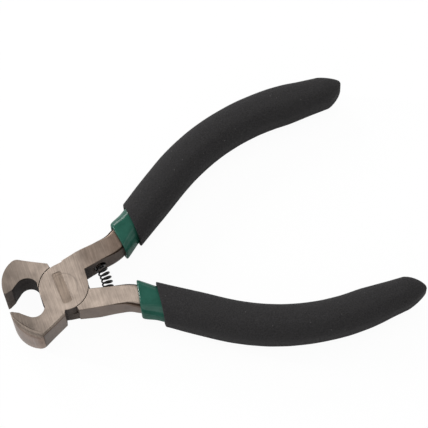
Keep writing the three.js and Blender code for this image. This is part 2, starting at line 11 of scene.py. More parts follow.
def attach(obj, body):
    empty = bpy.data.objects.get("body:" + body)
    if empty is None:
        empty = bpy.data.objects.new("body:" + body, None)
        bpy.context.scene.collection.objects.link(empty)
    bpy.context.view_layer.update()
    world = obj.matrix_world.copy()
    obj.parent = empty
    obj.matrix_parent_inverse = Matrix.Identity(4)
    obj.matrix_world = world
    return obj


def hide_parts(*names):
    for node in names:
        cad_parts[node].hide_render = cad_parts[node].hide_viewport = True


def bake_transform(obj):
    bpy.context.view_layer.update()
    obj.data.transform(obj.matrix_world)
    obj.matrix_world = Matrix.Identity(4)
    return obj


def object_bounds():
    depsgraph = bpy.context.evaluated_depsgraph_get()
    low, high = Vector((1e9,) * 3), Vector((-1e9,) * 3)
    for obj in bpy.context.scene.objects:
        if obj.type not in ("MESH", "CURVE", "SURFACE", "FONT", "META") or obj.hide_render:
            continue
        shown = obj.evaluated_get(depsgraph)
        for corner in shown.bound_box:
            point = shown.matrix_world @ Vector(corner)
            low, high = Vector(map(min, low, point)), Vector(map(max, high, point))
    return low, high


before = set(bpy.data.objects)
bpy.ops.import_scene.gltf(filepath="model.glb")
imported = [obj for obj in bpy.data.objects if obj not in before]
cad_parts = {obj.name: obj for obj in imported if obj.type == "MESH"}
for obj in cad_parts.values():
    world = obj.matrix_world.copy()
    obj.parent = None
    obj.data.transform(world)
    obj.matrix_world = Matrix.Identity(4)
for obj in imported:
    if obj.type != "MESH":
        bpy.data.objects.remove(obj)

CAD_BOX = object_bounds()
MM = 0.001

# The rear half is the front one turned over about X.
FLIP = {"front": 1, "rear": -1}

# Joint and handle line in millimetres, as in the part: a half is drawn closed, then swung open.
HEAD_THICKNESS = 9.0
HALF_HEAD = HEAD_THICKNESS / 2
DISC_RADIUS = 6.9
LAP_CLEARANCE = 0.12
HALF_OPEN = math.radians(20.5 / 2)
RIVET_HEAD_RADIUS = 3.0
PANEL_DEPTH = 0.18
JAW_REACH = 16.55
JAW_EDGE_WIDTH = 13.1
FLARE_START = 7.4
FLARE_KNEE = 13.2
NOSE_RADIUS = 9.8
NOSE_CORNER = Vector((-12.4, -10.25))
NOSE_ROLL = 1.5
BACK_ROLL = 0.9
JAW_SHOULDER_RADIUS = 8.4
JAW_SHOULDER_ANGLE = math.radians(64.6)
EDGE_LAND = 0.6
EDGE_BEVEL_LENGTH = 1.9
THROAT_SHARE = 0.332
THROAT_DROP = 0.9
TANG_OFFSET = 4.65
TANG_WEB_WIDTH = 0.5
WAIST_REACH = 13.0
BEND_START = 15.9
BEND_RADIUS = 10.5
BEND_ANGLE = math.radians(24)
SPREAD_LENGTH = 23.4
BOW_RADIUS = 63.2
BOW_ANGLE = math.radians(35.7)
TAIL_LENGTH = 19.1

# Covers
COVER_CLEARANCE = 0.2
LEAST_ROUNDING = 0.25
SLEEVE_WALL = 1.0
SLEEVE_REACH = 20.3
SLEEVE_END_WALL = 1.6
SLEEVE_TIP = 1.2
SLEEVE_RIM = 0.9
GRIP_WALL = 1.0
GRIP_REACH = 26.5
GRIP_SWELL = 12.0
GRIP_MOUTH_TILT = math.radians(4)
GRIP_END_WALL = 3.6
GRIP_TIP_LENGTH = 6.05
GRIP_TIP_INSET = 3.7
GRIP_TIP_POINT = 1.43  # 1 for a round tip, more for a pointed one
GRIP_TIP_LEAN = 1.07  # how far the point lies towards the outer side
GRIP_THINNING = 0.24  # how much thinner the foam is at its end
GRIP_STRETCH = 0.68  # how far the foam's end stands past the plain grip
GRIP_SLANT = -0.22  # slant of the rings at the foam's end
GRIP_SLANT_RUN = 16.0  # length over which they come to it
GRIP_LIP = 0.45
RIM_FULLNESS = 0.6  # 1 for a round rim, less for a fuller one
MOUTH_RUN = 9.0  # length over which a slanted mouth straightens up
FOAM_LUMP = 0.05
FOAM_LUMP_SIZE = 4.0

# Spring
SPRING_REACH = 12.1
SPRING_DIAMETER = 3.3
SPRING_WIRE = 0.5
SPRING_TURNS = 8
SPRING_SEAT_GAP = 0.3
POCKET_DEPTH = 2.2

# Steel edges
MERGE = 0.012  # points of the plain surface nearer than this are one
FLAT_ANGLE = math.radians(0.6)
SHARP_ANGLE = math.radians(32)
EDGE_BEVEL = 0.14
BEVEL_SEGMENTS = 2
FINE_EDGE = 0.25  # share of that bevel on the joint's own edges
STRAY = 0.05  # farthest that a bevel may lie from the plain surface
CLEAN = 0.004  # shortest edge kept
FLAT_WEIGHT = 80  # how far large faces lead the shading, out of 100
RIVET_FIT = 0.045  # closes most of the running gap round the rivet's front head

# Facets
CORNER_STEPS = 10
RING_STEP = 1.1
TIP_STEPS = 9
RIM_STEPS = 5
CURL_STEPS = 28
WIRE_SIDES = 12
WELD = 0.001

HANDLE_RUNS = [
    (BEND_START, 0.0),
    (BEND_RADIUS * BEND_ANGLE, BEND_ANGLE),
    (SPREAD_LENGTH, 0.0),
    (BOW_RADIUS * BOW_ANGLE, -BOW_ANGLE),
    (TAIL_LENGTH, 0.0),
]
HANDLE_LENGTH = sum(length for length, turn in HANDLE_RUNS)
BOW_START = sum(length for length, turn in HANDLE_RUNS[:3])
BOW_END = HANDLE_LENGTH - TAIL_LENGTH
SLEEVE_LENGTH = HANDLE_LENGTH - GRIP_END_WALL - COVER_CLEARANCE
SHANK_LENGTH = SLEEVE_LENGTH - SLEEVE_END_WALL - COVER_CLEARANCE
THINNING_RUN = TAIL_LENGTH / 2

# Distance, width, thickness and edge rounding of the steel along the handle line.
STEEL_KEYS = [
    (0.0, 5.9, HEAD_THICKNESS, 0.25),
    (DISC_RADIUS + TANG_WEB_WIDTH, 5.9, HEAD_THICKNESS, 0.25),
    (WAIST_REACH, 5.5, 8.2, 0.25),
    (SLEEVE_REACH, 6.5, 7.3, 1.4),
    (GRIP_REACH, 5.9, 7.2, 2.2),
    (GRIP_REACH + GRIP_SWELL, 6.2, 8.2, 2.6),
    (BOW_START, 6.2, 8.2, 2.6),
    (BOW_END, 5.75, 7.6, 2.3),
    (HANDLE_LENGTH, 3.5, 6.6, 1.5),
]


def smooth(share):
    share = min(max(share, 0.0), 1.0)
    return share * share * (3 - 2 * share)


def steel_at(distance):
    """Width, thickness and edge rounding of the steel at a distance."""
    index = max(i for i, key in enumerate(STEEL_KEYS[:-1]) if key[0] <= max(distance, 0.0))
    low, high = STEEL_KEYS[index], STEEL_KEYS[index + 1]
    share = smooth((distance - low[0]) / (high[0] - low[0]))
    return [a + (b - a) * share for a, b in zip(low[1:], high[1:])]


def handle_at(distance):
    """Place and heading on the handle line of a closed half, which runs on straight at its end."""
    x, y, heading, left = 0.0, TANG_OFFSET, 0.0, distance
    for length, turn in HANDLE_RUNS:
        part = min(left, length)
        bend = turn * part / length
        chord = 2 * length / turn * math.sin(bend / 2) if turn else part
        x += chord * math.cos(heading + bend / 2)
        y += chord * math.sin(heading + bend / 2)
        heading += bend
        left -= part
    return Vector((x + left * math.cos(heading), y + left * math.sin(heading))), heading


def opened(point, side):
    """A closed half's point in millimetres, swung open and put in the part's frame, in metres."""
    x = point.x * math.cos(HALF_OPEN) - point.y * math.sin(HALF_OPEN)
    y = point.x * math.sin(HALF_OPEN) + point.y * math.cos(HALF_OPEN)
    flip = FLIP[side]
    return Vector((x, flip * y, flip * point.z + HALF_HEAD)) * MM


def closed(point, side):
    """A point of the part in metres, put back in its closed half, in millimetres."""
    flip = FLIP[side]
    x, y, z = point.x / MM, flip * point.y / MM, flip * (point.z / MM - HALF_HEAD)
    return Vector((
        x * math.cos(HALF_OPEN) + y * math.sin(HALF_OPEN),
        y * math.cos(HALF_OPEN) - x * math.sin(HALF_OPEN),
        z,
    ))


def turned_over(normal, side):
    """A normal of the front half as it is on the given half, or the other way round."""
    flip = FLIP[side]
    return Vector((normal.x, flip * normal.y, flip * normal.z))


def section(distance, offset, slope, shift):
    """Ring round the handle line: the steel's section, grown, slanted and shifted outwards."""
    point, heading = handle_at(distance)
    width, thickness, edge = steel_at(distance)
    half_width = width / 2 + offset
    half_thickness = thickness / 2 + offset
    edge = min(max(edge + offset, LEAST_ROUNDING), half_width, half_thickness)
    ring = []
    for corner in range(4):
        across = 1 if corner in (0, 3) else -1
        up = 1 if corner < 2 else -1
        for step in range(CORNER_STEPS + 1):
            angle = (corner + step / CORNER_STEPS) * math.pi / 2
            side = across * (half_width - edge) + edge * math.cos(angle) + shift
            height = up * (half_thickness - edge) + edge * math.sin(angle)
            x = point.x + side * (slope * math.cos(heading) - math.sin(heading))
            y = point.y + side * (slope * math.sin(heading) + math.cos(heading))
            ring.append(Vector((x, y, height)))
    return ring


def add_object(name, data):
    piece = bpy.data.objects.new(name, data)
    bpy.context.scene.collection.objects.link(piece)
    return piece


def new_object(name, vertices, faces):
    mesh = bpy.data.meshes.new(name)
    mesh.from_pydata(vertices, [], faces)
    mesh.validate()
    return add_object(name, mesh)


def skin(name, rings):
    """Closed skin over a row of rings, with outward normals and smooth shading."""
    count = len(rings[0])
    faces = []
    for row in range(len(rings) - 1):
        for i in range(count):
            j = (i + 1) % count
            a, b = row * count + i, row * count + j
            faces.append((a, b, b + count, a + count))
    last = (len(rings) - 1) * count
    faces.append(tuple(range(count - 1, -1, -1)))
    faces.append(tuple(range(last, last + count)))
    piece = new_object(name, [point for ring in rings for point in ring], faces)
    work = bmesh.new()
    work.from_mesh(piece.data)
    bmesh.ops.remove_doubles(work, verts=work.verts, dist=WELD * MM)
    bmesh.ops.recalc_face_normals(work, faces=work.faces)
    work.to_mesh(piece.data)
    work.free()
    piece.data.shade_smooth()
    return piece


def cover_rings(
    start, end, inside_end, inner, outer, rim, tip_length, tip_inset, mouth_slope,
    slant=0.0, point=1.0, lean=0.0, thinning=0.0,
):
    """Rings of a tube with one closed end.

    They run up the inside to the mouth, over its rim and back along the outside.
    """

    def run(first, last):
        steps = math.ceil(abs(last - first) / RING_STEP)
        return [first + (last - first) * step / steps for step in range(steps + 1)]

    def ring(distance, offset, outside=False, shift=0.0):
        slope = mouth_slope * (1 - smooth((distance - start) / MOUTH_RUN))
        if outside:
            slope += slant * smooth((distance - end + GRIP_SLANT_RUN) / GRIP_SLANT_RUN)
            offset -= thinning * smooth((distance - BOW_END) / THINNING_RUN)
        return section(distance, offset, slope, shift)

    rings = [ring(distance, inner) for distance in run(inside_end, start + rim)]
    middle = (inner + outer) / 2
    half_wall = (outer - inner) / 2
    for step in range(1, 2 * RIM_STEPS):
        angle = math.pi * step / (2 * RIM_STEPS)
        reach = rim * math.sin(angle) ** RIM_FULLNESS
        rings.append(ring(start + rim - reach, middle - half_wall * math.cos(angle)))
    rings += [ring(distance, outer, True) for distance in run(start + rim, end - tip_length)]
    for step in range(1, TIP_STEPS + 1):
        angle = math.pi / 2 * step / TIP_STEPS
        short = 1 - math.sin(angle) ** point
        inset = 1 - max(math.cos(angle), 0.0) ** point
        rings.append(ring(end - tip_length * short, outer - tip_inset * inset, True, lean * inset))
    return rings


def mouth_slope(reach, tilt):
    """Slant of a mouth that is square to the closed tool, or tilted off that."""
    heading = handle_at(reach)[1]
    return 1 / math.tan(math.pi / 2 - tilt - heading)


def cover(name, side, **shape):
    """A tube with one closed end on the handle of one side."""
    rings = cover_rings(**shape)
    return skin(name, [[opened(point, side) for point in ring] for ring in rings])


def make_sleeve(side):
    return cover(
        f"{side}_dip",
        side,
        start=SLEEVE_REACH,
        end=SLEEVE_LENGTH,
        inside_end=SHANK_LENGTH + COVER_CLEARANCE,
        inner=COVER_CLEARANCE,
        outer=COVER_CLEARANCE + SLEEVE_WALL,
        rim=SLEEVE_RIM,
        tip_length=SLEEVE_TIP,
        tip_inset=SLEEVE_TIP,
        mouth_slope=mouth_slope(SLEEVE_REACH, 0.0),
    )


def make_grip(side):
    inner = SLEEVE_WALL + 2 * COVER_CLEARANCE
    piece = cover(
        f"{side}_foam",
        side,
        start=GRIP_REACH,
        end=HANDLE_LENGTH + GRIP_STRETCH,
        inside_end=SLEEVE_LENGTH + COVER_CLEARANCE,
        inner=inner,
        outer=inner + GRIP_WALL,
        rim=GRIP_LIP,
        tip_length=GRIP_TIP_LENGTH,
        tip_inset=GRIP_TIP_INSET,
        mouth_slope=mouth_slope(GRIP_REACH, GRIP_MOUTH_TILT),
        slant=GRIP_SLANT,
        point=GRIP_TIP_POINT,
        lean=GRIP_TIP_LEAN,
        thinning=GRIP_THINNING,
    )
    for vertex in piece.data.vertices:
        lump = noise.noise(vertex.co / (FOAM_LUMP_SIZE * MM))
        vertex.co += vertex.normal * (FOAM_LUMP * MM * lump)
    return piece


def make_spring():
    """One wire coiled along an arc about the pivot, running on straight in both pockets."""
    inner_side = TANG_OFFSET - steel_at(SPRING_REACH)[0] / 2
    arc = SPRING_REACH * HALF_OPEN
    half_length = arc + inner_side + POCKET_DEPTH - SPRING_SEAT_GAP
    half_coil = half_length - 2 * SPRING_WIRE
    radius = (SPRING_DIAMETER - SPRING_WIRE) / 2

    def wire_at(distance, turn):
        on_arc = min(max(distance, -arc), arc)
        around = on_arc / SPRING_REACH
        out = Vector((math.cos(around), math.sin(around), 0))
        along = Vector((-math.sin(around), math.cos(around), 0))
        angle = -2 * math.pi * turn
        radial = out * math.cos(angle) + Vector((0, 0, math.sin(angle)))
        return out * SPRING_REACH + along * (distance - on_arc) + radial * radius, radial

    steps = SPRING_TURNS * CURL_STEPS
    wire = [wire_at(-half_length, 0), wire_at(SPRING_WIRE - half_length, 0)]
    for step in range(steps + 1):
        share = step / steps
        wire.append(wire_at(half_coil * (2 * share - 1), SPRING_TURNS * share))
    wire += [wire_at(half_length - SPRING_WIRE, SPRING_TURNS), wire_at(half_length, SPRING_TURNS)]
    rings = []
    for i, (place, radial) in enumerate(wire):
        along = (wire[min(i + 1, len(wire) - 1)][0] - wire[max(i - 1, 0)][0]).normalized()
        out = (radial - along * radial.dot(along)).normalized()
        across = along.cross(out)
        ring = []
        for side in range(WIRE_SIDES):
            angle = 2 * math.pi * side / WIRE_SIDES
            point = place + (out * math.cos(angle) + across * math.sin(angle)) * (SPRING_WIRE / 2)
            ring.append((point + Vector((0, 0, HALF_HEAD))) * MM)
        rings.append(ring)
    return skin("coil_spring", rings)


# Finishes of a forging's faces
STEEL, NOSE, SCALE, GROUND, CHAMFER, PANEL = range(6)
POCKET_RADIUS = DISC_RADIUS + LAP_CLEARANCE
STEP_REACH = DISC_RADIUS + 2  # farthest from the pivot that the joint's own steps lie
CHAMFER_START = WAIST_REACH - 1
HOLLOW_HEIGHT = HALF_HEAD - 1  # a level face nearer the mid-plane lies in a hollow
PANEL_FLOOR = HALF_HEAD - 1.2 * PANEL_DEPTH  # the stamped panel's faces lie above this
PANEL_TOP = HALF_HEAD - 0.01  # and below this
BEVEL_MIDDLE = EDGE_LAND + EDGE_BEVEL_LENGTH / 2 - JAW_REACH
BEVEL_END = EDGE_LAND + EDGE_BEVEL_LENGTH - JAW_REACH
THROAT_RADIUS = THROAT_SHARE * (JAW_REACH - DISC_RADIUS)
THROAT = Vector((-math.sqrt((DISC_RADIUS + THROAT_RADIUS) ** 2 - THROAT_DROP ** 2), -THROAT_DROP))
NEAR = 0.25  # reach of a place's finish round it
FLAT = 0.9  # a normal's share along the pivot on a flat face
STEEP = 0.5  # the same on a wall
INWARDS = 0.3  # a normal's share towards the parting line on a throat's faces
NOSE_TURN = 0.125  # largest share of a normal towards the handles on a nose's faces
SPOKE_TURN = 0.25  # largest share of a normal along its spoke on a step of the joint
ROLLED_FROM = -1.0  # height from which the edges of a nose are rolled
FLAT_ENOUGH = 0.7  # least agreement of a corner's shading with its facet
LEAST_ROLL = 0.03  # radius of a soft edge where it runs out at the jaw's tip


def finish_of(centre, normal):
    """Which finish a face of a closed half has, from its middle and its normal."""
    radius = math.hypot(centre.x, centre.y)
    lean = abs(normal.z)
    wall = math.hypot(normal.x, normal.y)
    on_jaw = centre.x < -DISC_RADIUS
    if radius < DISC_RADIUS - NEAR and PANEL_FLOOR < centre.z < PANEL_TOP:
        return PANEL
    if centre.x > CHAMFER_START and STEEP < lean < FLAT:
        return CHAMFER
    if lean > STEEP:
        if abs(centre.z) < HOLLOW_HEIGHT:
            return SCALE
        return NOSE if on_jaw and normal.x < NOSE_TURN * wall else STEEL
    if radius < POCKET_RADIUS + NEAR:
        return SCALE
    if on_jaw:
        if normal.y > INWARDS:
            return GROUND if centre.x < BEVEL_MIDDLE else SCALE
        if (centre.xy - THROAT).length < THROAT_RADIUS + NEAR:
            return SCALE
        return NOSE if normal.x < NOSE_TURN else STEEL
    along_spoke = abs(normal.x * centre.x + normal.y * centre.y)
    if along_spoke < SPOKE_TURN * radius and radius < STEP_REACH:
        return GROUND
    if centre.x > 0 and normal.y < -INWARDS:
        return SCALE
    if abs(centre.x - SPRING_REACH) < SPRING_DIAMETER / 2 + 2 * NEAR and centre.y < TANG_OFFSET:
        return SCALE
    return STEEL


# Nose and back of a closed jaw, seen along the pivot
JAW_TIP = Vector((-JAW_REACH, 0))
JAW_SHOULDER = JAW_SHOULDER_RADIUS * Vector((
    -math.cos(JAW_SHOULDER_ANGLE),
    -math.sin(JAW_SHOULDER_ANGLE),
))
NOSE_CHORD = JAW_TIP - NOSE_CORNER
NOSE_INSET = math.sqrt(NOSE_RADIUS ** 2 - NOSE_CHORD.length_squared / 4)
NOSE_INWARDS = Vector((NOSE_CHORD.y, -NOSE_CHORD.x)).normalized()
NOSE_CENTRE = (JAW_TIP + NOSE_CORNER) / 2 + NOSE_INWARDS * NOSE_INSET
NOSE_SWEEP = (NOSE_CORNER - NOSE_CENTRE).angle(JAW_TIP - NOSE_CENTRE)
BACK_LINE = JAW_SHOULDER - NOSE_CORNER
BACK_OUT = Vector((BACK_LINE.y, -BACK_LINE.x)).normalized()


def flare_slope(reach):
    """Slope of a jaw's flaring face at a distance from the pivot."""
    run = max(reach - FLARE_START, 0.0)
    speed = 2 * (FLARE_KNEE - FLARE_START)
    change = JAW_REACH - 2 * FLARE_KNEE + FLARE_START
    share = 2 * run / (speed + math.sqrt(speed ** 2 + 4 * change * run))
    return 2 * (JAW_EDGE_WIDTH / 2 - HALF_HEAD) * share / (speed + 2 * change * share)


def flare_normal(point):
    """Normal of a jaw's flaring face at a point of the closed half."""
    return Vector((flare_slope(-point.x), 0, 1)).normalized()


def rolled_normal(point):
    """Normal of the soft edge round a jaw's nose and back, or None off it.

    The point is one of the closed half.
    """
    if point.z < 0 or point.x > JAW_SHOULDER.x:
        return None
    spoke = point.xy - NOSE_CENTRE
    share = (NOSE_CORNER - NOSE_CENTRE).angle_signed(spoke) / NOSE_SWEEP
    edges = [(BACK_OUT, (point.xy - NOSE_CORNER).dot(BACK_OUT), BACK_ROLL)]
    if 0 < share < 1:
        edges.append((spoke.normalized(), spoke.length - NOSE_RADIUS, NOSE_ROLL * (1 - share ** 2)))
    outward, out, radius = max(edges, key=lambda edge: edge[1] / max(edge[2], NEAR))
    slope = flare_slope(-point.x)
    lean = math.atan(-slope * outward.x)
    radius = max(radius, LEAST_ROLL)
    if out < -radius * (1 + math.sin(lean)) - LEAST_ROLL:
        return None
    across = min(max((out + radius) / radius, -1.0), 1.0)
    up = math.sqrt(1 - across ** 2)
    climb = slope * outward.y * up
    return Vector((
        outward.x * across + outward.y * climb,
        outward.y * across - outward.x * climb,
        up,
    )).normalized()


def shade(piece):
    """Keeps flat faces flat in the shading of a bevelled piece."""
    weighted = piece.modifiers.new("shading", "WEIGHTED_NORMAL")
    weighted.keep_sharp = True
    weighted.weight = FLAT_WEIGHT


def worked(piece):
    """A piece's mesh with its modifiers worked in."""
    evaluated = piece.evaluated_get(bpy.context.evaluated_depsgraph_get())
    mesh = bpy.data.meshes.new_from_object(evaluated)
    piece.modifiers.clear()
    return mesh


def hold(piece, node):
    """Works in a piece's bevels and holds them to the plain surface of its node."""
    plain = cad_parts[node].data
    surface = BVHTree.FromPolygons(
        [vertex.co for vertex in plain.vertices],
        [polygon.vertices for polygon in plain.polygons],
    )
    mesh = worked(piece)
    work = bmesh.new()
    work.from_mesh(mesh)
    for vertex in work.verts:
        nearest, _, _, distance = surface.find_nearest(vertex.co)
        if distance > STRAY * MM:
            vertex.co = nearest
    bmesh.ops.remove_doubles(work, verts=work.verts, dist=CLEAN * MM)
    bmesh.ops.dissolve_degenerate(work, edges=work.edges, dist=CLEAN * MM)
    needless = [vertex for vertex in work.verts if len(vertex.link_edges) == 2]
    bmesh.ops.dissolve_verts(work, verts=needless)
    work.to_mesh(mesh)
    work.free()
    piece.data = mesh


def soften(piece, side):
    """Gives a half's flaring face and rolled edges the normals of true curves."""
    mesh = worked(piece)
    normals = [corner.vector.copy() for corner in mesh.corner_normals]
    swing = Matrix.Rotation(HALF_OPEN, 3, "Z")
    for polygon in mesh.polygons:
        faces_up = FLIP[side] * polygon.normal.z > FLAT_ENOUGH
        for loop in polygon.loop_indices:
            place = closed(mesh.vertices[mesh.loops[loop].vertex_index].co, side)
            normal = rolled_normal(place)
            if normal is None and faces_up and place.x < -FLARE_START:
                normal = flare_normal(place)
            if normal is not None:
                normals[loop] = turned_over(swing @ normal, side)
            if normals[loop].dot(polygon.normal) < FLAT_ENOUGH:
                normals[loop] = polygon.normal.copy()
    mesh.normals_split_custom_set(normals)
    piece.data = mesh


def steel_copy(node, name, side, materials):
    """A bevelled copy of a steel node, with a finish for each face."""
    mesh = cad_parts[node].data.copy()
    mesh.name = name
    piece = add_object(name, mesh)
    mesh.materials.clear()
    for material in materials:
        mesh.materials.append(material)
    work = bmesh.new()
    work.from_mesh(mesh)
    bmesh.ops.remove_doubles(work, verts=work.verts, dist=MERGE * MM)
    bmesh.ops.dissolve_degenerate(work, edges=work.edges, dist=MERGE * MM)
    bmesh.ops.dissolve_limit(work, angle_limit=FLAT_ANGLE, verts=work.verts, edges=work.edges)
    swing_back = Matrix.Rotation(-HALF_OPEN, 3, "Z")
    for face in work.faces:
        normal = swing_back @ turned_over(face.normal, side)
        face.material_index = finish_of(closed(face.calc_center_median(), side), normal)
        face.smooth = True
    weights = work.edges.layers.float.new("bevel_weight_edge")
    for edge in work.edges:
        if edge.calc_face_angle(0.0) < SHARP_ANGLE:
            continue
        middle = closed((edge.verts[0].co + edge.verts[1].co) / 2, side)
        radius = middle.xy.length
        by_nose = any(face.material_index == NOSE for face in edge.link_faces)
        rolled = by_nose and middle.z > ROLLED_FROM
        at_tip = min(closed(vertex.co, side).x for vertex in edge.verts) < BEVEL_END
        if at_tip or abs(radius - RIVET_HEAD_RADIUS) < NEAR:
            edge.smooth = rolled
        elif not rolled:
            edge[weights] = FINE_EDGE if radius < POCKET_RADIUS + NEAR else 1.0
    work.to_mesh(mesh)
    work.free()
    bevel = piece.modifiers.new("edges", "BEVEL")
    bevel.width = EDGE_BEVEL * MM
    bevel.segments = BEVEL_SEGMENTS
    bevel.limit_method = "WEIGHT"
    bevel.use_clamp_overlap = False
    return piece


def fit_rivet(rivet):
    """Widens the rivet's front head so that only a faint ring shows round it."""
    for vertex in rivet.data.vertices:
        radius = vertex.co.xy.length
        if vertex.co.z > HALF_HEAD * MM and radius > (RIVET_HEAD_RADIUS - NEAR) * MM:
            vertex.co.xy *= 1 + RIVET_FIT * MM / radius


class Nodes:
    """A material's node tree, built by short calls."""

    def __init__(self, name):
        self.material = bpy.data.materials.new(name)
        self.material.use_nodes = True
        self.tree = self.material.node_tree
        self.shader = self.tree.nodes["Principled BSDF"]
        self.place = self.add("ShaderNodeTexCoord").outputs["Object"]

    def add(self, kind, **values):
        node = self.tree.nodes.new(kind)
        for name, value in values.items():
            setattr(node, name, value)
        return node

    def link(self, output, target):
        self.tree.links.new(output, target)

    def fill(self, socket, value):
        """Puts a number, a colour or another node's output into a socket."""
        if isinstance(value, tuple):
            socket.default_value = (*value, 1)
        elif isinstance(value, (int, float)):
            socket.default_value = value
        else:
            self.link(value, socket)

    def texture(self, kind, scale, stretch=(1, 1, 1)):
        """A texture with a scale in cycles per millimetre, stretched along axes if asked."""
        mapping = self.add("ShaderNodeMapping")
        mapping.inputs["Scale"].default_value = [scale / MM * share for share in stretch]
        self.link(self.place, mapping.inputs["Vector"])
        node = self.add(kind)
        node.inputs["Scale"].default_value = 1.0
        self.link(mapping.outputs["Vector"], node.inputs["Vector"])
        return node

    def noise(self, scale, detail, roughness=0.55, stretch=(1, 1, 1)):
        node = self.texture("ShaderNodeTexNoise", scale, stretch)
        node.inputs["Detail"].default_value = detail
        node.inputs["Roughness"].default_value = roughness
        return node.outputs["Fac"]

    def specks(self, scale, size):
        """One at the middle of scattered cells, falling to nought at the given share of a cell."""
        node = self.texture("ShaderNodeTexVoronoi", scale)
        return self.remap(node.outputs["Distance"], 0.0, size, 1.0, 0.0)

    def part(self, vector, axis):
        split = self.add("ShaderNodeSeparateXYZ")
        self.link(vector, split.inputs[0])
        return split.outputs[axis]

    def along(self, axis):
        """The place along an axis, in millimetres."""
        return self.math("DIVIDE", self.part(self.place, axis), MM)

    def from_pivot(self):
        """Distance from the pivot axis, in millimetres."""
        squares = [self.math("MULTIPLY", self.along(axis), self.along(axis)) for axis in "XY"]
        return self.math("SQRT", self.math("ADD", *squares))

    def patch(self, middle, turn, half_size, soft):
        """One inside a turned rectangle in millimetres, falling softly to nought at its edge."""
        x, y = [self.math("SUBTRACT", self.along(axis), at) for axis, at in zip("XY", middle)]
        x_cos, y_cos = [self.math("MULTIPLY", value, math.cos(turn)) for value in (x, y)]
        x_sin, y_sin = [self.math("MULTIPLY", value, math.sin(turn)) for value in (x, y)]
        places = self.math("ADD", x_cos, y_sin), self.math("SUBTRACT", y_cos, x_sin)
        sides = []
        for value, half in zip(places, half_size):
            away = self.math("ABSOLUTE", value)
            sides.append(self.ramp(away, half - soft, half + soft, 1.0, 0.0))
        return self.math("MULTIPLY", *sides)

    def facing(self):
        """How squarely the surface faces along the pivot."""
        normal = self.add("ShaderNodeNewGeometry").outputs["Normal"]
        return self.math("ABSOLUTE", self.part(normal, "Z"))

    def remap(self, value, from_low, from_high, low, high, kind="LINEAR"):
        """Low at the first value, high at the second, and in between in a straight line."""
        node = self.add("ShaderNodeMapRange", interpolation_type=kind)
        names = "From Min", "From Max", "To Min", "To Max"
        for name, number in zip(names, (from_low, from_high, low, high)):
            node.inputs[name].default_value = number
        self.link(value, node.inputs["Value"])
        return node.outputs["Result"]

    def ramp(self, value, from_low, from_high, low, high):
        """The same with a soft start and end."""
        return self.remap(value, from_low, from_high, low, high, "SMOOTHSTEP")

    def math(self, operation, a, b=0.0):
        node = self.add("ShaderNodeMath", operation=operation)
        self.fill(node.inputs[0], a)
        self.fill(node.inputs[1], b)
        return node.outputs[0]

    def mix(self, factor, a, b):
        node = self.add("ShaderNodeMix", data_type="RGBA")
        self.link(factor, node.inputs[0])
        self.fill(node.inputs[6], a)
        self.fill(node.inputs[7], b)
        return node.outputs[2]

    def scaled(self, colour, factor):
        node = self.add("ShaderNodeVectorMath", operation="SCALE")
        self.link(colour, node.inputs[0])
        self.link(factor, node.inputs["Scale"])
        return node.outputs[0]

    def toned(self, colour, mask, tone):
        """A colour, scaled by the given tone where the mask is one."""
        return self.scaled(colour, self.remap(mask, 0.0, 1.0, 1.0, tone))

    def bump(self, height, distance, after=None):
        node = self.add("ShaderNodeBump")
        node.inputs["Strength"].default_value = 1.0
        node.inputs["Distance"].default_value = distance * MM
        self.link(height, node.inputs["Height"])
        if after is not None:
            self.link(after, node.inputs["Normal"])
        return node.outputs["Normal"]

    def set(self, **values):
        for name, value in values.items():
            self.fill(self.shader.inputs[name.replace("_", " ")], value)
        return self.material


# In what follows a scale is in cycles per millimetre, a bump in millimetres, and four numbers are
# the two values between which something changes, then what it is at the first and at the second.
GRAIN_SCALE = 3.2
GRAIN_STRETCH = (1.0, 0.06, 0.3)
GRAIN_BUMP = 0.008
CLOUD_SCALE = 0.22
FINE_SCALE = 1.3
FINE_BUMP = 0.012
SIDE_TO_FACE = (0.3, 0.8, 0.0, 1.0)  # by how squarely the surface faces along the pivot: painted shade on the sides
PAINTED_SHADE_JOINT = (4.0, 9.5, 0.0, 0.56)  # by X: painted shade on the front tang, first step
PAINTED_SHADE_TANG = (12.5, 18.0, 0.0, 0.26)  # by X: painted shade on the front tang, second step
JAW_SHADE = (-3.0, -11.0, 1.0, 0.66)  # by X: painted shade towards the jaw's tip
BRUSHED_TONE = (0.34, 0.66, 0.68, 1.26)
STEEL_ROUGH = 0.42
ROUGH_NOISE = (0.6, 1.4)  # values of the noise at which the steel is smoothest and roughest
ROUGH_LESS, ROUGH_MORE = 0.06, 0.08
RIVET_RING = 3.9  # radius of a painted shade line round the rivet
RING_SHADE_LINE = (0.05, 0.35, 1.0, 0.0)  # by the distance from the ring
RING_SHADE_SIDE = (-2.0, 4.5, 0.1, 1.0)  # by X plus Y: the painted shade line shows on one side only
RING_SHADE_TONE = 0.82
SET_TONE = 1.06  # inside the ring
SET_EDGE = 0.5  # width over which that fades out
PANEL_MIDDLE = (-0.68, 0.04)  # dulled ground round the stamped panel
PANEL_TURN = math.radians(6.5)
PANEL_HALF_SIZE = (1.85, 4.8)
PANEL_SOFT = 0.4
PANEL_TONE = 0.86


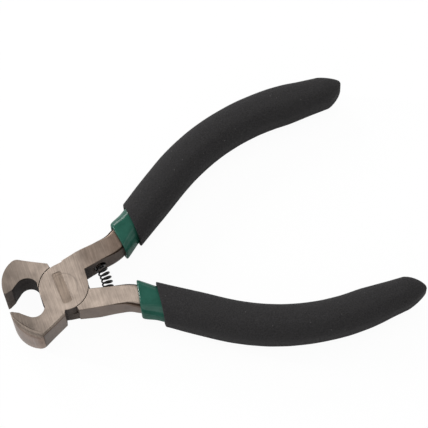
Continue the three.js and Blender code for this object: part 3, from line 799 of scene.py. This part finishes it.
def steel_material(name, face, side, rough=STEEL_ROUGH, shaded_tang=False, joint=False):
    """Brushed steel: fine scratches one way, cloudy tone, and painted shade on sides and jaw tip.
    """
    nodes = Nodes(name)
    grain = nodes.noise(GRAIN_SCALE, detail=3.0, stretch=GRAIN_STRETCH)
    cloud = nodes.noise(CLOUD_SCALE, detail=3.0)
    fine = nodes.noise(FINE_SCALE, detail=5.0)
    # painted shade: the sides take a darker colour than the faces, by how they face
    colour = nodes.mix(nodes.ramp(nodes.facing(), *SIDE_TO_FACE), side, face)
    place = nodes.along("X")
    # painted shade on the front half's tang, which darkens towards the side colour
    if shaded_tang:
        tang_shade = nodes.math("ADD", nodes.ramp(place, *PAINTED_SHADE_JOINT), nodes.ramp(place, *PAINTED_SHADE_TANG))
        colour = nodes.mix(tang_shade, colour, side)
    # painted shade, darker towards the jaw's tip
    colour = nodes.scaled(colour, nodes.ramp(place, *JAW_SHADE))
    tone = nodes.math("MULTIPLY", nodes.math("ADD", grain, cloud), 0.5)
    colour = nodes.scaled(colour, nodes.remap(tone, *BRUSHED_TONE))
    if joint:
        radius = nodes.from_pivot()
        away = nodes.math("ABSOLUTE", nodes.math("SUBTRACT", radius, RIVET_RING))
        kept = nodes.ramp(nodes.math("ADD", place, nodes.along("Y")), *RING_SHADE_SIDE)
        # painted shade of a groove round the rivet, on one side only
        ring = nodes.math("MULTIPLY", nodes.ramp(away, *RING_SHADE_LINE), kept)
        inside = nodes.ramp(radius, RIVET_RING - SET_EDGE, RIVET_RING, SET_TONE, 1.0)
        worn = nodes.patch(PANEL_MIDDLE, PANEL_TURN, PANEL_HALF_SIZE, PANEL_SOFT)
        colour = nodes.scaled(colour, inside)
        colour = nodes.toned(colour, ring, RING_SHADE_TONE)
        colour = nodes.toned(colour, worn, PANEL_TONE)
    both = nodes.math("ADD", grain, fine)
    roughness = nodes.remap(both, *ROUGH_NOISE, rough - ROUGH_LESS, rough + ROUGH_MORE)
    normal = nodes.bump(fine, FINE_BUMP, after=nodes.bump(grain, GRAIN_BUMP))
    return nodes.set(Base_Color=colour, Metallic=1.0, Roughness=roughness, Normal=normal)


SCALE_CLOUD = 0.5
SCALE_MIX = (0.35, 0.68, 0.0, 1.0)
SCALE_FINE = 4.0
SCALE_BUMP = 0.015
SCALE_ROUGH = (0.3, 0.7, 0.5, 0.7)
SCALE_GLOSS = 0.04
PALER_INSIDE = (6.0, 12.0, 0.0, 1.0)  # by X
PALER_OUTSIDE = (6.2, 7.4, 0.0, 0.5)  # by the distance from the mid-line
PALER_COLOUR = (0.135, 0.108, 0.094)


def scale_and_shade_material(name, dark, light):
    """Dark forge scale and painted shade in the hollows, paler along the tang."""
    nodes = Nodes(name)
    cloud = nodes.noise(SCALE_CLOUD, detail=5.0)
    fine = nodes.noise(SCALE_FINE, detail=3.0)
    colour = nodes.mix(nodes.remap(cloud, *SCALE_MIX), dark, light)
    inside = nodes.ramp(nodes.along("X"), *PALER_INSIDE)
    outside = nodes.ramp(nodes.math("ABSOLUTE", nodes.along("Y")), *PALER_OUTSIDE)
    colour = nodes.mix(nodes.math("MAXIMUM", inside, outside), colour, PALER_COLOUR)
    return nodes.set(
        Base_Color=colour,
        Roughness=nodes.remap(fine, *SCALE_ROUGH),
        Normal=nodes.bump(fine, SCALE_BUMP),
        Specular_IOR_Level=SCALE_GLOSS,
    )


WIRE_CLOUD = 1.5
WIRE_BUMP = 0.01
WIRE_ROUGH = (0.3, 0.7, 0.28, 0.45)
WIRE_METAL = 0.7
WIRE_DARK = (0.008, 0.008, 0.008)
WIRE_LIGHT = (0.03, 0.028, 0.027)


def spring_material():
    nodes = Nodes("black_wire")
    cloud = nodes.noise(WIRE_CLOUD, detail=4.0)
    return nodes.set(
        Base_Color=nodes.mix(cloud, WIRE_DARK, WIRE_LIGHT),
        Metallic=WIRE_METAL,
        Roughness=nodes.remap(cloud, *WIRE_ROUGH),
        Normal=nodes.bump(cloud, WIRE_BUMP),
    )


RIPPLE_SCALE = 0.35
RIPPLE_MIX = (0.3, 0.7, 0.0, 1.0)
RIPPLE_BUMP = 0.12
VINYL_FINE = 2.5
VINYL_BUMP = 0.003
VINYL_ROUGH = (0.3, 0.7, 0.18, 0.26)
VINYL_DARK = (0.0155, 0.073, 0.052)
VINYL_LIGHT = (0.0212, 0.092, 0.067)
GLOSS_ON_ROUNDS = (0.5, 0.7, 0.01, 0.32)  # by how squarely the surface faces along the pivot
GLOSS_ON_FLATS = (0.9, 0.97, 1.0, 0.1)


def vinyl_material():
    """Glossy dipped vinyl with slow ripples."""
    nodes = Nodes("green_vinyl")
    ripple = nodes.noise(RIPPLE_SCALE, detail=2.0)
    fine = nodes.noise(VINYL_FINE, detail=3.0)
    facing = nodes.facing()
    rounds, flats = nodes.ramp(facing, *GLOSS_ON_ROUNDS), nodes.ramp(facing, *GLOSS_ON_FLATS)
    return nodes.set(
        Base_Color=nodes.mix(nodes.remap(ripple, *RIPPLE_MIX), VINYL_DARK, VINYL_LIGHT),
        Roughness=nodes.remap(fine, *VINYL_ROUGH),
        Normal=nodes.bump(ripple, RIPPLE_BUMP, after=nodes.bump(fine, VINYL_BUMP)),
        Specular_IOR_Level=nodes.math("MULTIPLY", rounds, flats),
    )


FOAM_CLOUD = 0.18
FOAM_CLOUD_MIX = (0.35, 0.7, 0.0, 0.35)
FOAM_CLOUD_COLOUR = (0.026, 0.0253, 0.026)
CELL_SCALE = 3.0
CELL_ROUGHNESS = 0.7
CELL_MIX = (0.3, 0.72, 0.0, 1.0)
CELL_DARK = (0.0118, 0.0113, 0.0115)
CELL_LIGHT = (0.0385, 0.0367, 0.0376)
PORE_SCALE, PORE_SIZE = 2.2, 0.42
PORE_DEPTH = 0.5
DUST_SCALE, DUST_SIZE = 0.42, 0.075
DUST_SHARE = 0.55
DUST_COLOUR = (0.22, 0.21, 0.21)
FOAM_BUMP = 0.09
FOAM_ROUGH = 0.95
FOAM_GLOSS = 0.2


def foam_material():
    """Matt closed-cell foam: fine pores, cloudy tone and a few specks of dust."""
    nodes = Nodes("black_foam")
    cloud = nodes.noise(FOAM_CLOUD, detail=4.0)
    cells = nodes.noise(CELL_SCALE, detail=4.0, roughness=CELL_ROUGHNESS)
    pores = nodes.specks(PORE_SCALE, PORE_SIZE)
    dust = nodes.specks(DUST_SCALE, DUST_SIZE)
    colour = nodes.mix(nodes.remap(cells, *CELL_MIX), CELL_DARK, CELL_LIGHT)
    colour = nodes.mix(nodes.remap(cloud, *FOAM_CLOUD_MIX), colour, FOAM_CLOUD_COLOUR)
    colour = nodes.mix(nodes.math("MULTIPLY", dust, DUST_SHARE), colour, DUST_COLOUR)
    height = nodes.math("SUBTRACT", cells, nodes.math("MULTIPLY", pores, PORE_DEPTH))
    return nodes.set(
        Base_Color=colour,
        Roughness=FOAM_ROUGH,
        Normal=nodes.bump(height, FOAM_BUMP),
        Specular_IOR_Level=FOAM_GLOSS,
    )


# Pieces
FACE_COLOUR = (0.352, 0.289, 0.243)
# painted shade on the steel's sides, and a lighter painted shade on the nose's walls
SHADED_SIDE_COLOUR = (0.116, 0.08, 0.06)
SHADED_NOSE_COLOUR = (0.345, 0.256, 0.21)
# forge scale together with painted shade of the hollows
SCALE_AND_SHADE_DARK = (0.018, 0.014, 0.0125)
SCALE_AND_SHADE_LIGHT = (0.034, 0.027, 0.024)
GROUND_DARK = (0.085, 0.067, 0.059)
GROUND_LIGHT = (0.115, 0.092, 0.08)
# painted shade: the dark band where the tang's edge rounds off near the sleeve
SHADED_CHAMFER_COLOUR = (0.045, 0.03, 0.022)
CHAMFER_ROUGH = 0.5
PANEL_COLOUR = (0.3, 0.237, 0.19)
# painted shade on the walls of the stamped panel
PANEL_SHADED_SIDE_COLOUR = (0.14, 0.11, 0.09)
PANEL_ROUGH = 0.48

# In the order of the finishes: first those that a half has to itself, then those that both share.
own = {
    side: [
        steel_material(
            f"{side}_steel", FACE_COLOUR, SHADED_SIDE_COLOUR, shaded_tang=side == "front", joint=True,
        ),
        steel_material(f"{side}_nose", FACE_COLOUR, SHADED_NOSE_COLOUR),
    ]
    for side in FLIP
}
shared = [
    # forge scale with painted shade in the hollows; the ground facets take the same in lighter
    # colours
    scale_and_shade_material("forge_scale_and_shade", SCALE_AND_SHADE_DARK, SCALE_AND_SHADE_LIGHT),
    scale_and_shade_material("ground_edge", GROUND_DARK, GROUND_LIGHT),
    # painted shade on the tang's chamfer
    steel_material("shaded_chamfer", SHADED_CHAMFER_COLOUR, SHADED_CHAMFER_COLOUR, rough=CHAMFER_ROUGH),
    steel_material(
        "stamped_panel", PANEL_COLOUR, PANEL_SHADED_SIDE_COLOUR, rough=PANEL_ROUGH, joint=True,
    ),
]
vinyl = vinyl_material()
foam = foam_material()

for side in FLIP:
    forging = steel_copy(f"{side}_half", f"{side}_forging", side, own[side] + shared)
    hold(forging, f"{side}_half")
    shade(forging)
    soften(forging, side)
    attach(forging, side)
    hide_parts(f"{side}_half")
    dip = make_sleeve(side)
    dip.data.materials.append(vinyl)
    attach(dip, side)
    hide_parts(f"{side}_sleeve")
    grip = make_grip(side)
    grip.data.materials.append(foam)
    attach(grip, side)
    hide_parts(f"{side}_grip")

rivet = steel_copy("pivot_rivet", "flush_rivet", "front", own["front"] + shared)
fit_rivet(rivet)
shade(rivet)
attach(rivet, "front")
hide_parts("pivot_rivet")

spring = make_spring()
spring.data.materials.append(spring_material())
mid_plane = HALF_HEAD * MM
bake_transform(spring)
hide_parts("return_spring")

# Floor, turned up into a low round backdrop
FLOOR_RADIUS = 2.0
FLOOR_MIDDLE = 0.4  # radius of the one face under the tool
COVE_RADIUS = 0.4
BACKDROP_HEIGHT = 0.7
COVE_STEPS = 12
FLOOR_SIDES = 72
FLOOR_GAP = 0.02
FLOOR_WHITE = 0.92
FLOOR_GLOW = 0.95  # share of the floor that the camera sees as plain white


def make_floor(floor_height):
    profile = [(FLOOR_MIDDLE, 0.0), (FLOOR_RADIUS, 0.0)]
    for step in range(1, COVE_STEPS + 1):
        angle = math.pi / 2 * step / COVE_STEPS
        radius = FLOOR_RADIUS + COVE_RADIUS * math.sin(angle)
        profile.append((radius, COVE_RADIUS * (1 - math.cos(angle))))
    profile.append((FLOOR_RADIUS + COVE_RADIUS, BACKDROP_HEIGHT))
    points = []
    faces = [tuple(range(FLOOR_SIDES))]
    for row, (radius, height) in enumerate(profile):
        for i in range(FLOOR_SIDES):
            angle = 2 * math.pi * i / FLOOR_SIDES
            points.append((
                radius * math.cos(angle),
                radius * math.sin(angle),
                floor_height + height,
            ))
            if row > 0:
                first = row * FLOOR_SIDES + i
                second = row * FLOOR_SIDES + (i + 1) % FLOOR_SIDES
                faces.append((first - FLOOR_SIDES, first, second, second - FLOOR_SIDES))
    piece = new_object("floor", points, faces)
    piece.data.shade_smooth()
    return piece


def floor_material():
    """White paper that the camera, also by way of a mirror, sees as nearly plain white."""
    material = bpy.data.materials.new("white_floor")
    material.use_nodes = True
    nodes, links = material.node_tree.nodes, material.node_tree.links
    nodes.clear()
    paper = nodes.new("ShaderNodeBsdfDiffuse")
    paper.inputs["Color"].default_value = (FLOOR_WHITE, FLOOR_WHITE, FLOOR_WHITE, 1)
    glow = nodes.new("ShaderNodeEmission")
    glow.inputs["Strength"].default_value = 1.0
    path = nodes.new("ShaderNodeLightPath")
    seen = path.outputs["Is Camera Ray"]
    for ray in ("Is Glossy Ray", "Is Transmission Ray"):
        either = nodes.new("ShaderNodeMath")
        either.operation = "MAXIMUM"
        links.new(seen, either.inputs[0])
        links.new(path.outputs[ray], either.inputs[1])
        seen = either.outputs[0]
    share = nodes.new("ShaderNodeMath")
    share.operation = "MULTIPLY"
    share.inputs[1].default_value = FLOOR_GLOW
    links.new(seen, share.inputs[0])
    blend = nodes.new("ShaderNodeMixShader")
    links.new(share.outputs[0], blend.inputs["Fac"])
    links.new(paper.outputs[0], blend.inputs[1])
    links.new(glow.outputs[0], blend.inputs[2])
    output = nodes.new("ShaderNodeOutputMaterial")
    links.new(blend.outputs[0], output.inputs["Surface"])
    return material


floor = make_floor(CAD_BOX[0].z - FLOOR_GAP * MM)
floor.data.materials.append(floor_material())

# Light: place, size and power of each softbox
WORLD_STRENGTH = 0.45
SOFTBOXES = {
    "overhead": ((0.15, 0.04, 0.75), (0.7, 0.7), 2.0),
    "back": ((-0.1, 0.75, 0.4), (0.3, 0.3), 2.5),
    "right": ((0.65, 0.28, 0.25), (0.6, 0.6), 0.85),
    "front_left": ((-0.45, -0.5, 0.4), (0.8, 0.7), 1.1),
    "left_strip": ((-0.55, 0.37, 0.28), (0.03, 0.3), 2.4),
}
world = bpy.data.worlds.new("studio")
bpy.context.scene.world = world
world.use_nodes = True
sky = world.node_tree.nodes["Background"]
sky.inputs["Color"].default_value = (1, 1, 1, 1)
sky.inputs["Strength"].default_value = WORLD_STRENGTH

centre = (CAD_BOX[0] + CAD_BOX[1]) / 2
for name, (place, size, power) in SOFTBOXES.items():
    lamp = bpy.data.lights.new(name, "AREA")
    lamp.shape = "RECTANGLE"
    lamp.size, lamp.size_y = size
    lamp.energy = power
    box = add_object(name, lamp)
    box.location = place
    box.rotation_mode = "QUATERNION"
    box.rotation_quaternion = (centre - Vector(place)).to_track_quat("-Z", "Y")

# Camera at the photograph's angle
AZIMUTH = math.radians(16.64)
TILT = math.radians(22.32)
ROLL = math.radians(3.14)
DISTANCE = 0.55866
PAN = (0.04162, 0.02182)
FOCAL_PIXELS = 2000
IMAGE_PIXELS = 428
SENSOR = 36.0

axes = (
    Matrix.Rotation(ROLL, 3, "Z")
    @ Matrix.Rotation(-TILT, 3, "X")
    @ Matrix.Rotation(AZIMUTH, 3, "Z")
)
camera_data = bpy.data.cameras.new("camera")
camera_data.sensor_width = SENSOR
camera_data.lens = FOCAL_PIXELS / IMAGE_PIXELS * SENSOR
camera = add_object("camera", camera_data)
camera_place = axes.transposed() @ Vector((*PAN, DISTANCE)) + Vector((0, 0, mid_plane))
camera.matrix_world = Matrix.Translation(camera_place) @ axes.transposed().to_4x4()
bpy.context.scene.camera = camera
bpy.context.scene.view_settings.view_transform = "Standard"
